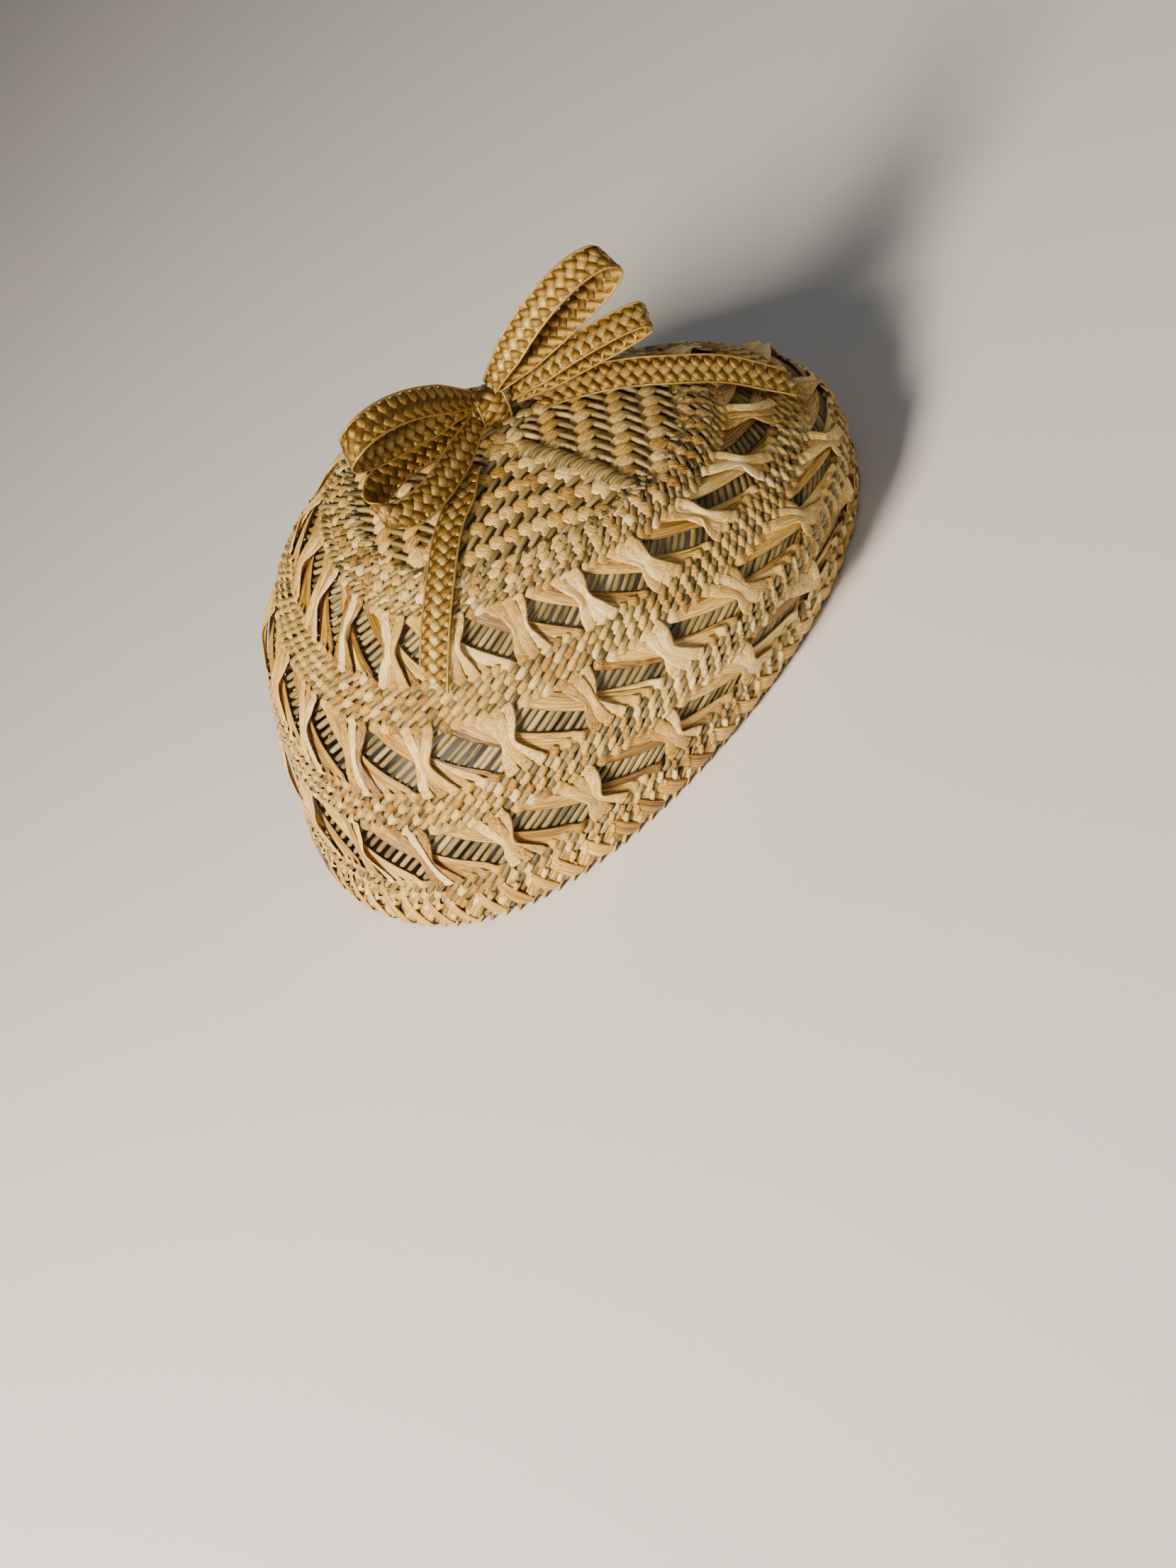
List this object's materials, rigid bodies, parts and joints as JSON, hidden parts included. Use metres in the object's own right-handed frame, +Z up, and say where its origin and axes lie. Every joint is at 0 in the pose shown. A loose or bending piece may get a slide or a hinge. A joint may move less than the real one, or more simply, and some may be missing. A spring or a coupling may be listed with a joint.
{
  "type": "straw hat",
  "caption": "Lopsided plaited straw dome hat with a twill top, rings of crossed openwork, a plaited rim and a double bow of gold braid on the crown.",
  "frame": {"origin": "on the floor plane, under the middle of the hat's box", "axes": "+Z up from the rim's plane, -Y towards the wearer's front, +X to the side where the crown leans out"},
  "size_m": [0.241, 0.2361, 0.1457],
  "materials": {
    "straw": "natural straw strips over rush stakes, matte with a faint sheen",
    "rim_straw": "natural straw plait, matte with a faint sheen",
    "gold_braid": "gold herringbone braid with a soft metallic glint"
  },
  "bodies": {
    "root": {"straw_body": "straw", "rim_border": "rim_straw", "bow_knot": "gold_braid", "bow_loop_right_upper": "gold_braid", "bow_loop_right_lower": "gold_braid", "bow_loop_left_upper": "gold_braid", "bow_loop_left_lower": "gold_braid", "bow_tail_front": "gold_braid", "bow_tail_back": "gold_braid"}
  },
  "joints": []
}
